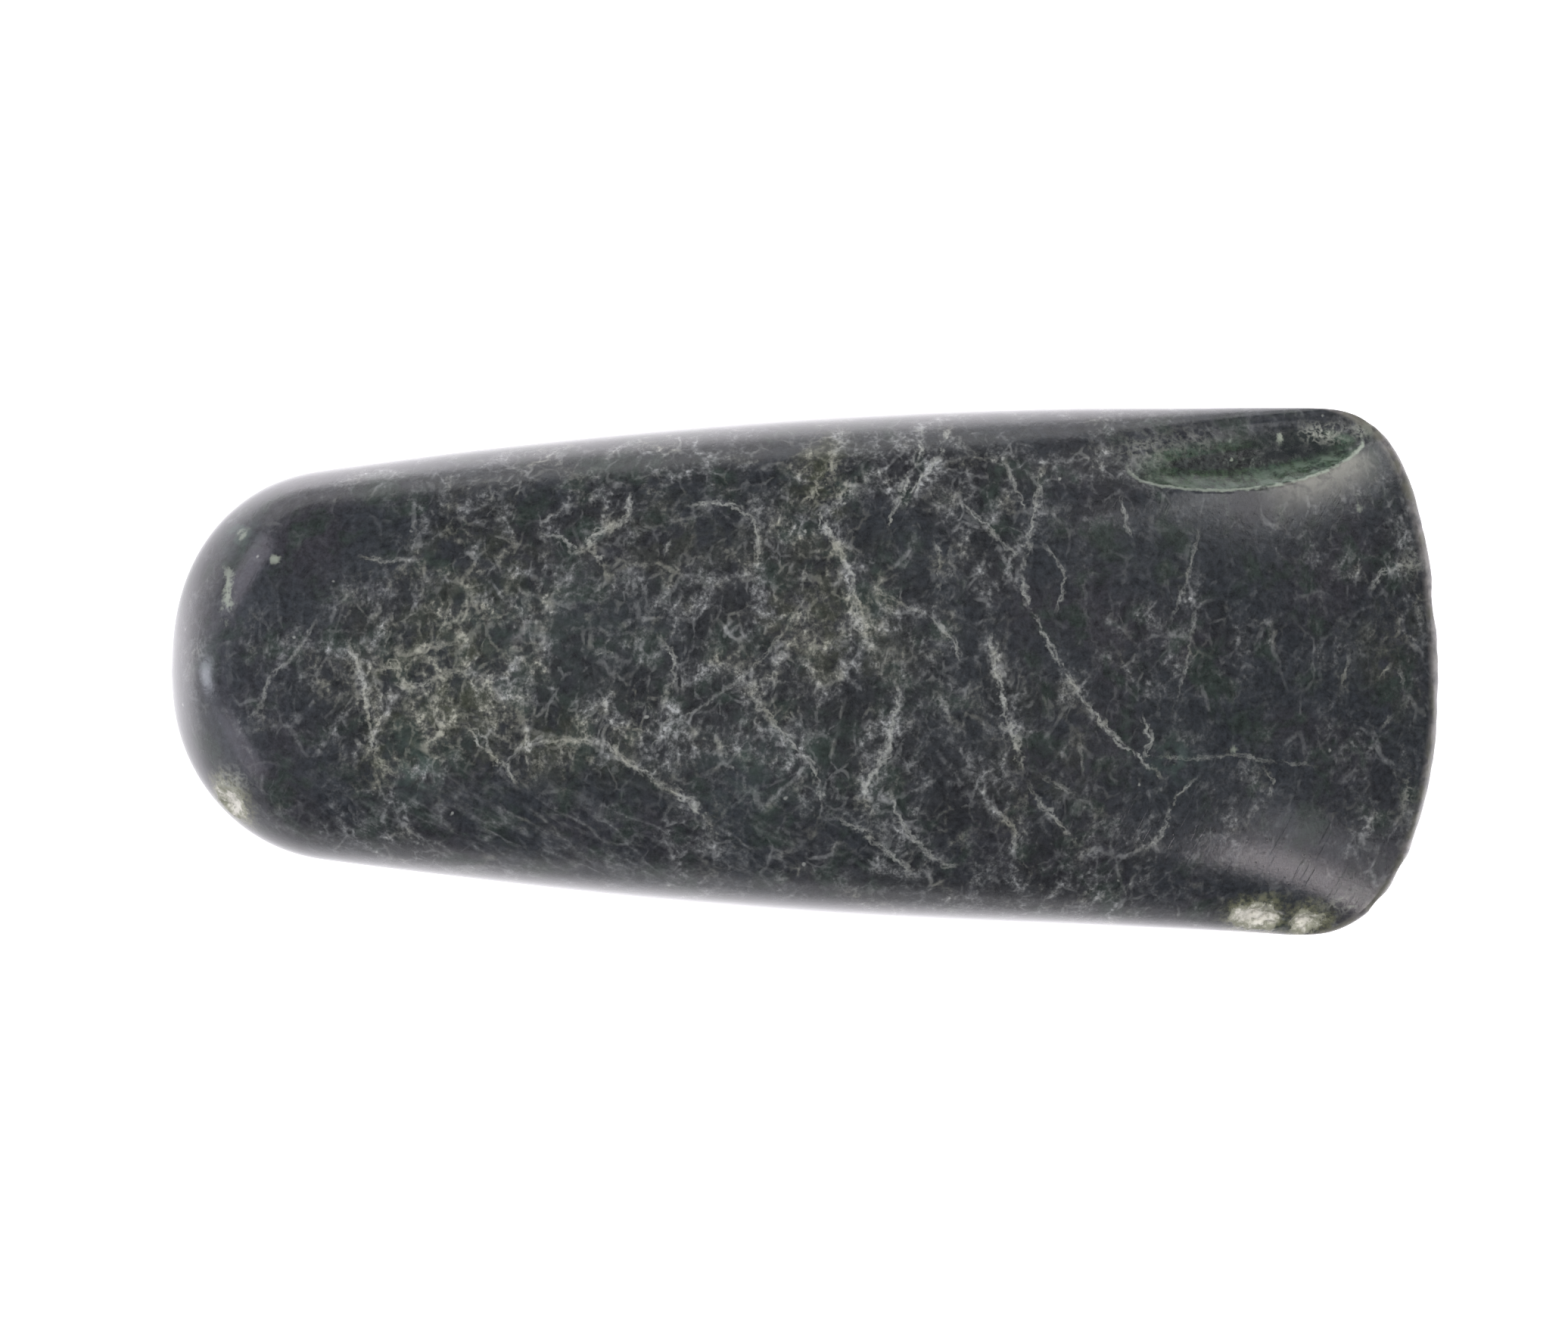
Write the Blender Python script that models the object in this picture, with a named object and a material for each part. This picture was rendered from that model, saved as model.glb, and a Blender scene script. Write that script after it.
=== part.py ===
# A polished stone axe head, one solid stone lying on its broad face.
# +X points to the cutting edge, +Y to the left flank and +Z up. Sizes are millimetres, made metres by MM.
import math

import bpy
import bmesh
from mathutils import Matrix, Quaternion, Vector

MM = 0.001

# Driving sizes of the stone.
LENGTH = 120.0
WIDTH = 50.0
CROWN_RISE = 13.7            # from the mid plane up to the crown
BELLY_DROP = 13.3            # from the mid plane down to the belly, before the rest is ground
REST_CUT = 0.4               # taken off the belly so that the stone lies still
THICKEST_AT = -6.0           # station of the greatest thickness

# Poll, the narrow blunt end.
POLL_HALF_THICKNESS = 8.3
POLL_DEPTH_PLAN = 14.5       # length of the rounding seen from above
POLL_DEPTH_SIDE = 6.8        # length of the rounding seen from the side, on the axis
POLL_DEPTH_FLANK = 16.8      # and at the flanks, where the poll rounds off sooner
POLL_DEPTH_POWER = 1.5
POLL_ROUND_LEFT = 2.4        # rounding exponents of the left and right halves
POLL_ROUND_RIGHT = 2.2
POLL_ROUND_SIDE = 2.0
POLL_CENTRE_Y = -0.2

# Bit, the wide ground end with the cutting edge.
EDGE_BOW = 13.0              # how far the edge stands out past its corners
EDGE_CENTRE_Y = -1.3
EDGE_ROUND_LEFT = 3.3
EDGE_ROUND_RIGHT = 2.45
BOW_STARTS_AT = 0.0
BIT_POWER = 2.1              # convexity of the taper from the thickest station to the edge
EDGE_HALF_THICKNESS = 0.7    # the edge is a little blunt
EDGE_CAP = 0.9               # length of its rounding
EDGE_ROUND_SIDE = 2.0

# Cross section: superellipse exponents of the two sides.
SECTION_LEFT = 2.3
SECTION_RIGHT = 2.6

# Flanks seen from above, as the distance of each from the long axis.
LEFT_TAPER = 0.00247
LEFT_TAPER_FROM = 30.0
LEFT_TAPER_POWER = 1.8
RIGHT_SLOPE = 0.046
RIGHT_SLOPE_FROM = 46.0
RIGHT_TAPER = 0.0032
RIGHT_TAPER_FROM = 10.0
RIGHT_TAPER_POWER = 1.7

# Mesh density.
POINTS_AROUND = 64
POLL_RINGS = 12
BODY_STEP = 3.4
BIT_RINGS = 5

# Hollows knocked out of the skin. Each has its place as a ring station and an angle round the ring
# (0 the left flank, 90 the crown, 180 the right flank), its length along the stone, its width and
# depth, its turn in degrees, and how many sides its cutter has.
HOLLOWS = {
    "flake_scar": dict(station=33.6, angle=37.0, length=25.4, width=7.8, depth=1.05, turn=5.2, sides=48),
    "corner_chip": dict(station=38.2, angle=158.5, length=5.2, width=3.2, depth=0.55, turn=0.0, sides=16),
    "corner_nick": dict(station=42.4, angle=160.5, length=2.8, width=2.4, depth=0.45, turn=10.0, sides=12),
    "poll_bruise": dict(station=-53.9, angle=145.9, length=3.6, width=4.4, depth=0.45, turn=0.0, sides=16),
}
HOLLOW_FLATNESS = 0.85       # share of its half height that a cutter's centre is lifted; higher is flatter

# Nicks broken out of the cutting edge: angle round the last ring, length along the edge and depth.
EDGE_NICKS = {
    "edge_nick_left": dict(angle=76.0, length=4.6, depth=0.4),
    "edge_nick_right": dict(angle=133.0, length=3.4, depth=0.3),
    "edge_nick_corner": dict(angle=147.0, length=2.8, depth=0.3),
}
NICK_HEIGHT = 3.0            # size of a nick's cutter across the edge's thickness
NICK_SIDES = 12

STEP_ALONG = 0.01            # small steps along the skin, in millimetres and radians, to read its slope
STEP_ROUND = 0.01

EDGE_BASE = LENGTH / 2 - EDGE_BOW
MID_PLANE = BELLY_DROP - REST_CUT


def smooth_step(start, end, value):
    t = min(1.0, max(0.0, (value - start) / (end - start)))
    return t * t * (3.0 - 2.0 * t)


def rounded_end(distance, depth, exponent):
    """Share of the full size reached at a distance in from a rounded end."""
    if distance >= depth:
        return 1.0
    return (1.0 - (1.0 - max(0.0, distance) / depth) ** exponent) ** (1.0 / exponent)


def left_flank(x):
    return WIDTH / 2 - LEFT_TAPER * max(0.0, LEFT_TAPER_FROM - x) ** LEFT_TAPER_POWER


def right_flank(x):
    slope = RIGHT_SLOPE * max(0.0, RIGHT_SLOPE_FROM - x)
    return WIDTH / 2 - slope - RIGHT_TAPER * max(0.0, RIGHT_TAPER_FROM - x) ** RIGHT_TAPER_POWER


def centre_y(x):
    share = smooth_step(-LENGTH / 2, EDGE_BASE, x)
    return POLL_CENTRE_Y + (EDGE_CENTRE_Y - POLL_CENTRE_Y) * share


def half_thickness(x, greatest):
    """Half thickness on the long axis at a station of the crown line."""
    if x >= THICKEST_AT:
        along = (x - THICKEST_AT) / (LENGTH / 2 - THICKEST_AT)
        return EDGE_HALF_THICKNESS + (greatest - EDGE_HALF_THICKNESS) * (1.0 - along ** BIT_POWER)
    along = (THICKEST_AT - x) / (THICKEST_AT + LENGTH / 2)
    return greatest - (greatest - POLL_HALF_THICKNESS) * along ** 2


def ring_point(station, angle):
    """A point of the skin. The ring crosses the flanks at its station and bows out towards the bit."""
    across = math.cos(angle)
    up = math.sin(angle)
    on_left = across > 0
    section = SECTION_LEFT if on_left else SECTION_RIGHT
    y_share = abs(across) ** (2.0 / section)
    z_share = abs(up) ** (2.0 / section)
    from_poll = station + LENGTH / 2
    if on_left:
        reach = left_flank(station) - centre_y(station)
    else:
        reach = right_flank(station) + centre_y(station)
    reach *= rounded_end(from_poll, POLL_DEPTH_PLAN, POLL_ROUND_LEFT if on_left else POLL_ROUND_RIGHT)
    bow = EDGE_BOW * smooth_step(BOW_STARTS_AT, EDGE_BASE, station)
    edge_round = EDGE_ROUND_LEFT if on_left else EDGE_ROUND_RIGHT
    x = station + bow * max(0.0, 1.0 - y_share ** 2) ** (1.0 / edge_round)
    height = half_thickness(station + bow, CROWN_RISE if up > 0 else BELLY_DROP)
    depth = POLL_DEPTH_SIDE + (POLL_DEPTH_FLANK - POLL_DEPTH_SIDE) * y_share ** POLL_DEPTH_POWER
    height *= rounded_end(from_poll, depth, POLL_ROUND_SIDE)
    height *= rounded_end(EDGE_BASE - station, EDGE_CAP, EDGE_ROUND_SIDE)
    y = centre_y(station) + math.copysign(reach * y_share, across)
    z = MID_PLANE + math.copysign(height * z_share, up)
    return Vector((x, y, z)) * MM


def ring_stations():
    """Stations from the poll to the cutting edge, close together where the ends round off."""
    stations = []
    for i in range(1, POLL_RINGS + 1):
        turn = 0.5 * math.pi * i / POLL_RINGS
        stations.append(-LENGTH / 2 + POLL_DEPTH_PLAN * (1.0 - math.cos(turn)))
    body_start = stations[-1]
    body_length = EDGE_BASE - EDGE_CAP - body_start
    steps = round(body_length / BODY_STEP)
    stations += [body_start + body_length * i / steps for i in range(1, steps + 1)]
    for i in range(1, BIT_RINGS):
        turn = 0.5 * math.pi * i / BIT_RINGS
        stations.append(EDGE_BASE - EDGE_CAP + EDGE_CAP * math.sin(turn))
    return stations


def stone_skin(builder):
    """Rings of points from the tip of the poll to the cutting edge, bridged into one closed skin."""
    angles = [2.0 * math.pi * i / POINTS_AROUND for i in range(POINTS_AROUND)]
    rings = []
    for station in ring_stations():
        rings.append([builder.verts.new(ring_point(station, angle)) for angle in angles])
    half = POINTS_AROUND // 2
    edge_line = [builder.verts.new(ring_point(EDGE_BASE, angle)) for angle in angles[: half + 1]]
    rings.append([edge_line[min(i, POINTS_AROUND - i)] for i in range(POINTS_AROUND)])
    tip = builder.verts.new(Vector((-LENGTH / 2, POLL_CENTRE_Y, MID_PLANE)) * MM)
    for i in range(POINTS_AROUND):
        builder.faces.new((tip, rings[0][i], rings[0][i - 1]))
    for near, far in zip(rings, rings[1:]):
        for i in range(POINTS_AROUND):
            builder.faces.new((near[i - 1], near[i], far[i], far[i - 1]))


def stone_material():
    material = bpy.data.materials.new("stone")
    material.use_nodes = True
    shader = material.node_tree.nodes["Principled BSDF"]
    shader.inputs["Base Color"].default_value = (0.035, 0.040, 0.038, 1.0)
    shader.inputs["Roughness"].default_value = 0.25
    shader.inputs["Metallic"].default_value = 0.0
    return material


def add_object(name, builder):
    mesh = bpy.data.meshes.new(name)
    bmesh.ops.recalc_face_normals(builder, faces=builder.faces)
    builder.to_mesh(mesh)
    builder.free()
    made = bpy.data.objects.new(name, mesh)
    bpy.context.scene.collection.objects.link(made)
    return made


def cut_away(stone, cutter):
    cutter.hide_render = True
    cutter.display_type = "WIRE"
    boolean = stone.modifiers.new(cutter.name, "BOOLEAN")
    boolean.operation = "DIFFERENCE"
    boolean.solver = "EXACT"
    boolean.object = cutter


def rest_cutter():
    """A block whose top face grinds the flat that the stone lies on."""
    depth = 2.0
    builder = bmesh.new()
    bmesh.ops.create_cube(builder, size=1.0)
    bmesh.ops.scale(builder, vec=Vector((LENGTH, WIDTH, depth)) * MM, verts=builder.verts)
    cutter = add_object("rest_cutter", builder)
    cutter.location = (0.0, 0.0, -depth / 2 * MM)
    return cutter


def skin_frame(station, angle):
    """The point of the skin there, its outward normal and its direction towards the bit."""
    point = ring_point(station, angle)
    along = ring_point(station + STEP_ALONG, angle) - ring_point(station - STEP_ALONG, angle)
    round_ring = ring_point(station, angle + STEP_ROUND) - ring_point(station, angle - STEP_ROUND)
    outward = round_ring.cross(along).normalized()
    along = along.normalized()
    return point, outward, along


def hollow_cutter(name, point, outward, along, length, width, depth, sides):
    """An ellipsoid that sinks to the depth below the point and meets its tangent plane at the given size."""
    half_height = depth / (1.0 - HOLLOW_FLATNESS)
    widening = 1.0 / math.sqrt(1.0 - HOLLOW_FLATNESS ** 2)
    half_sizes = Vector((length / 2 * widening, width / 2 * widening, half_height)) * MM
    builder = bmesh.new()
    bmesh.ops.create_uvsphere(builder, u_segments=sides, v_segments=sides // 2, radius=1.0)
    bmesh.ops.scale(builder, vec=half_sizes, verts=builder.verts)
    cutter = add_object(name + "_cutter", builder)
    turned = Matrix((along, outward.cross(along), outward)).transposed()
    centre = point + outward * (half_height - depth) * MM
    cutter.matrix_world = Matrix.Translation(centre) @ turned.to_4x4()
    return cutter


def skin_hollow(name, station, angle, length, width, depth, turn, sides):
    point, outward, along = skin_frame(station, math.radians(angle))
    along = Quaternion(outward, math.radians(turn)) @ along
    return hollow_cutter(name, point, outward, along, length, width, depth, sides)


def edge_nick(name, angle, length, depth):
    """A nick across the cutting edge, square to the edge's line."""
    at = math.radians(angle)
    point = ring_point(EDGE_BASE, at)
    along = (ring_point(EDGE_BASE, at - STEP_ROUND) - ring_point(EDGE_BASE, at + STEP_ROUND)).normalized()
    outward = along.cross(Vector((0.0, 0.0, 1.0)))
    return hollow_cutter(name, point, outward, along, length, NICK_HEIGHT, depth, NICK_SIDES)


def main():
    for old in list(bpy.data.objects):
        bpy.data.objects.remove(old, do_unlink=True)
    builder = bmesh.new()
    stone_skin(builder)
    stone = add_object("axe_head", builder)
    stone.data.materials.append(stone_material())
    stone.data.shade_smooth()
    cut_away(stone, rest_cutter())
    for name, hollow in HOLLOWS.items():
        cut_away(stone, skin_hollow(name, **hollow))
    for name, nick in EDGE_NICKS.items():
        cut_away(stone, edge_nick(name, **nick))
    bpy.context.view_layer.update()


main()
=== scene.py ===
import math

import bpy
import numpy as np
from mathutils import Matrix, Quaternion, Vector


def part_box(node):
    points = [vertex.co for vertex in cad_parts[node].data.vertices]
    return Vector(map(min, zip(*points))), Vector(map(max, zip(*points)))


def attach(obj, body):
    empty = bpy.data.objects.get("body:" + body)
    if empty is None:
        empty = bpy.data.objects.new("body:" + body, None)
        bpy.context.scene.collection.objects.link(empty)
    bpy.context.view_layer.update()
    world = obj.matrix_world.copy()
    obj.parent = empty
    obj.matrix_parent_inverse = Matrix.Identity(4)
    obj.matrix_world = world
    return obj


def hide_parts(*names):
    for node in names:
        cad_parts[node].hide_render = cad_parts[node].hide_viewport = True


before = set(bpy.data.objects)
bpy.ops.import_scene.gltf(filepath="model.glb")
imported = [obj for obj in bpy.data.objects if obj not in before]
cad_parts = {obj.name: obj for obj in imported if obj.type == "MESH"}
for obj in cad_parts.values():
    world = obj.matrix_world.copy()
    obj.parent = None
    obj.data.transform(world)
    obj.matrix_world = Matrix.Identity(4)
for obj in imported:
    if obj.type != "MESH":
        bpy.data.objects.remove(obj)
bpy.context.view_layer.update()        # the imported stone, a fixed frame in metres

mm = 0.001
boxLow, boxHigh = [np.array(corner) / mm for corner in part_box("axe_head")]
length = boxHigh[0] - boxLow[0]
width = boxHigh[1] - boxLow[1]
halfLength = length / 2
print("frame loaded, stone", round(length, 1), "x", round(width, 1), "mm")


# ---- form of the stone, in millimetres, +X towards the cutting edge

stoneForm = {
    "crownRise": 13.7,           # mid plane to crown
    "bellyDrop": 13.3,           # mid plane to belly, before the rest is ground
    "restCut": 0.4,
    "thickestAt": -6.0,
    "pollHalfThickness": 8.3,
    "pollDepthPlan": 14.5,
    "pollDepthSide": (6.8, 16.8, 1.5),    # on the axis, at the flanks, power between
    "pollRound": (2.4, 2.2),     # left and right halves
    "pollCentreY": -0.2,
    "edgeBow": 13.0,
    "edgeCentreY": -1.3,
    "edgeRound": (3.3, 2.45),
    "bitPower": 2.1,
    "edgeHalfThickness": 0.7,
    "edgeCap": 0.9,
    "section": (2.3, 2.6),
    "leftTaper": (0.00247, 30.0, 1.8),    # amount, station it starts from, power
    "rightTaper": (0.0032, 10.0, 1.7),
    "rightSlope": (0.046, 46.0),
}
edgeStation = halfLength - stoneForm["edgeBow"]
midPlane = stoneForm["bellyDrop"] - stoneForm["restCut"]


def smoothStep(start, end, value):
    t = np.clip((value - start) / (end - start), 0.0, 1.0)
    return t * t * (3.0 - 2.0 * t)


def roundedEnd(distance, depth, power):
    t = np.clip(distance / depth, 0.0, 1.0)
    return (1.0 - (1.0 - t) ** power) ** (1.0 / power)


def flankReach(station, left):
    # distance of each flank from the long axis
    amount, start, power = stoneForm["leftTaper"]
    leftReach = width / 2 - amount * np.maximum(0.0, start - station) ** power
    slope, slopeStart = stoneForm["rightSlope"]
    amount, start, power = stoneForm["rightTaper"]
    rightReach = width / 2 - slope * np.maximum(0.0, slopeStart - station)
    rightReach = rightReach - amount * np.maximum(0.0, start - station) ** power
    return np.where(left, leftReach, rightReach)


def halfThickness(station, greatest):
    form = stoneForm
    towardsBit = np.clip((station - form["thickestAt"]) / (halfLength - form["thickestAt"]), 0.0, 1.0)
    bitSide = form["edgeHalfThickness"] + (greatest - form["edgeHalfThickness"]) * (
        1.0 - towardsBit ** form["bitPower"])
    towardsPoll = np.clip((form["thickestAt"] - station) / (form["thickestAt"] + halfLength), 0.0, 1.0)
    pollSide = greatest - (greatest - form["pollHalfThickness"]) * towardsPoll ** 2
    return np.where(station >= form["thickestAt"], bitSide, pollSide)


def skinPoint(station, angle):
    # angle goes round from the left flank over the crown; rings bow out towards the bit
    form = stoneForm
    across, up = np.cos(angle), np.sin(angle)
    left = across > 0
    section = np.where(left, *form["section"])
    yShare = np.abs(across) ** (2.0 / section)
    zShare = np.abs(up) ** (2.0 / section)
    centreY = form["pollCentreY"] + (form["edgeCentreY"] - form["pollCentreY"]) * smoothStep(
        -halfLength, edgeStation, station)
    reach = flankReach(station, left) - np.where(left, centreY, -centreY)
    fromPoll = station + halfLength
    reach = reach * roundedEnd(fromPoll, form["pollDepthPlan"], np.where(left, *form["pollRound"]))
    bow = form["edgeBow"] * smoothStep(0.0, edgeStation, station)
    x = station + bow * np.maximum(0.0, 1.0 - yShare ** 2) ** (1.0 / np.where(left, *form["edgeRound"]))
    height = halfThickness(station + bow, np.where(up > 0, form["crownRise"], form["bellyDrop"]))
    onAxis, atFlanks, power = form["pollDepthSide"]
    depth = onAxis + (atFlanks - onAxis) * yShare ** power
    height = height * roundedEnd(fromPoll, depth, 2.0)
    height = height * roundedEnd(edgeStation - station, form["edgeCap"], 2.0)
    y = centreY + np.copysign(reach * yShare, across)
    z = midPlane + np.copysign(height * zShare, up)
    return np.stack([x, y, z], axis=-1)


# ---- grid that the skin is laid on

gridPlan = {
    "pollRings": 44,
    "bodyStep": 0.52,
    "scarFrom": 20.0,            # finer rings from here to the bit
    "scarStep": 0.21,
    "edgeRings": 12,
    "halfTurnPoints": 144,
    "scarAngle": 0.58,           # more points round the flake scar and at both flanks
    "scarSpread": 0.36,
}


def gridStations():
    plan, cap = gridPlan, stoneForm["edgeCap"]
    turns = np.linspace(0.0, math.pi / 2, plan["pollRings"] + 1)[1:]
    poll = -halfLength + stoneForm["pollDepthPlan"] * (1.0 - np.cos(turns))
    bodySteps = round((plan["scarFrom"] - poll[-1]) / plan["bodyStep"])
    body = np.linspace(poll[-1], plan["scarFrom"], bodySteps + 1)[1:]
    bitSteps = round((edgeStation - cap - plan["scarFrom"]) / plan["scarStep"])
    bit = np.linspace(plan["scarFrom"], edgeStation - cap, bitSteps + 1)[1:]
    turns = np.linspace(0.0, math.pi / 2, plan["edgeRings"] + 1)[1:]
    return np.concatenate([poll, body, bit, edgeStation - cap + cap * np.sin(turns)])


def gridAngles():
    # the lower half mirrors the upper one, so that both meet in the cutting edge
    plan = gridPlan
    fine = np.linspace(0.0, math.pi, 4001)
    density = 1.0 + 1.3 * np.exp(-((fine - plan["scarAngle"]) / plan["scarSpread"]) ** 2)
    density += 0.7 * np.exp(-(fine / 0.25) ** 2) + 0.9 * np.exp(-((fine - math.pi) / 0.3) ** 2)
    share = np.concatenate([[0.0], np.cumsum((density[1:] + density[:-1]) / 2)])
    upper = np.interp(np.linspace(0.0, share[-1], plan["halfTurnPoints"] + 1), share, fine)
    return np.concatenate([upper, 2.0 * math.pi - upper[-2:0:-1]])


def waveField(points, wavelength, seed, waves=28):
    # smooth random field of about unit size, from seeded waves in all directions
    draw = np.random.default_rng(seed)
    direction = draw.normal(size=(waves, 3))
    direction /= np.linalg.norm(direction, axis=1, keepdims=True)
    lengths = wavelength * draw.uniform(0.7, 1.5, waves)
    phase = draw.uniform(0.0, 2.0 * math.pi, waves)
    field = np.zeros(points.shape[:-1])
    for k in range(waves):
        field += np.cos(points @ (direction[k] * 2.0 * math.pi / lengths[k]) + phase[k])
    return field * math.sqrt(2.0 / waves)


def gridNormals(points):
    aroundRing = np.roll(points, -1, axis=1) - np.roll(points, 1, axis=1)
    along = np.gradient(points, axis=0)
    normals = np.cross(aroundRing, along)
    size = np.linalg.norm(normals, axis=-1, keepdims=True)
    return normals / np.maximum(size, 1e-9)


# ---- hollows and nicks

hollows = {
    "flakeScar": {"station": 33.6, "angle": 37.0, "length": 25.4, "width": 7.8, "depth": 1.05,
                  "turn": 5.2, "rough": 0.03, "grain": 1.6},
    "cornerChip": {"station": 38.2, "angle": 158.5, "length": 5.2, "width": 3.2, "depth": 0.55,
                   "turn": 0.0, "rough": 0.14, "grain": 0.9},
    "cornerNick": {"station": 42.4, "angle": 160.5, "length": 2.8, "width": 2.4, "depth": 0.45,
                   "turn": 10.0, "rough": 0.12, "grain": 0.8},
    "pollBruise": {"station": -53.9, "angle": 145.9, "length": 3.6, "width": 4.4, "depth": 0.45,
                   "turn": 0.0, "rough": 0.12, "grain": 0.8},
}
crustGaps = [                    # where the chalky crust has come off, or runs on past its chip
    (45.2, -23.1, 0.75, 1.3, 1.2),
    (40.7, -22.9, 0.9, 1.0, -0.9),
]
hollowFlatness = 0.85
edgeNicks = {
    "left": {"angle": 76.0, "length": 4.6, "depth": 0.4},
    "right": {"angle": 133.0, "length": 3.4, "depth": 0.3},
    "corner": {"angle": 147.0, "length": 2.8, "depth": 0.3},
}
nickHeight = 3.0


def unit(vector):
    return vector / np.linalg.norm(vector)


def skinFrame(station, angle):
    step = 0.01
    point = skinPoint(station, angle)
    along = skinPoint(station + step, angle) - skinPoint(station - step, angle)
    aroundRing = skinPoint(station, angle + step) - skinPoint(station, angle - step)
    return point, unit(np.cross(aroundRing, along)), unit(along)


def turnedAbout(vector, axis, angle):
    # axis is square to the vector
    return vector * math.cos(angle) + np.cross(axis, vector) * math.sin(angle)


def hollowShape(point, outward, along, size, depth):
    # centre, axes and half sizes of the ellipsoid that the hollow is a part of
    halfHeight = depth / (1.0 - hollowFlatness)
    widening = 1.0 / math.sqrt(1.0 - hollowFlatness ** 2)
    axes = np.array([along, np.cross(outward, along), outward])
    halfSizes = np.array([size[0] / 2 * widening, size[1] / 2 * widening, halfHeight])
    return point + outward * (halfHeight - depth), axes, halfSizes


def hollowField(points, shape):
    # 1 on the ellipsoid, less inside it
    centre, axes, halfSizes = shape
    return np.linalg.norm((points - centre) @ axes.T / halfSizes, axis=-1)


def snapToRim(points, field):
    # slides the nearest grid points onto the line where the field is 1, for a crisp rim
    best = np.full(field.shape, 0.5)
    target = points.copy()
    for axis, step in ((0, -1), (0, 1), (1, -1), (1, 1)):
        otherField = np.roll(field, step, axis=axis)
        otherPoints = np.roll(points, step, axis=axis)
        crossing = (field - 1.0) * (otherField - 1.0) < 0.0
        if axis == 0:
            crossing[-1 if step == -1 else 0] = False
        share = np.where(crossing, (1.0 - field) / np.where(crossing, otherField - field, 1.0), 1.0)
        better = share < best
        best = np.where(better, share, best)
        moved = points + (otherPoints - points) * share[..., None]
        target = np.where(better[..., None], moved, target)
    onRim = best < 0.5
    return target, np.where(onRim, 1.0, field), onRim


def sinkInto(points, field, shape, soft=0.0):
    # moves points inside the ellipsoid straight in, onto its surface; soft rounds the rim, in mm
    centre, axes, halfSizes = shape
    local = (points - centre) @ axes.T / halfSizes
    reach = np.sqrt(np.maximum(0.0, 1.0 - local[..., 0] ** 2 - local[..., 1] ** 2))
    drop = (local[..., 2] + reach) * halfSizes[2]
    crisp = np.where(field < 1.0, np.maximum(drop, 0.0), 0.0)
    drop = np.where(soft > 0.0, 0.5 * (drop + np.sqrt(drop ** 2 + soft ** 2)), crisp)
    return points - axes[2] * drop[..., None]


def rimDistance(points, field):
    # signed distance along the skin from the line where the field is 1, in millimetres
    along = np.gradient(points, axis=0)
    around = (np.roll(points, -1, axis=1) - np.roll(points, 1, axis=1)) / 2
    fieldAlong = np.gradient(field, axis=0)
    fieldAround = (np.roll(field, -1, axis=1) - np.roll(field, 1, axis=1)) / 2
    a, b, c = [(p * q).sum(-1) for p, q in ((along, along), (along, around), (around, around))]
    slope = (c * fieldAlong ** 2 - 2 * b * fieldAlong * fieldAround + a * fieldAround ** 2)
    slope = np.sqrt(np.maximum(slope / np.maximum(a * c - b * b, 1e-12), 1e-8))
    return np.clip((field - 1.0) / slope, -6.0, 6.0)


# ---- veins that show as single lines, as points on the long and cross axes

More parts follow.
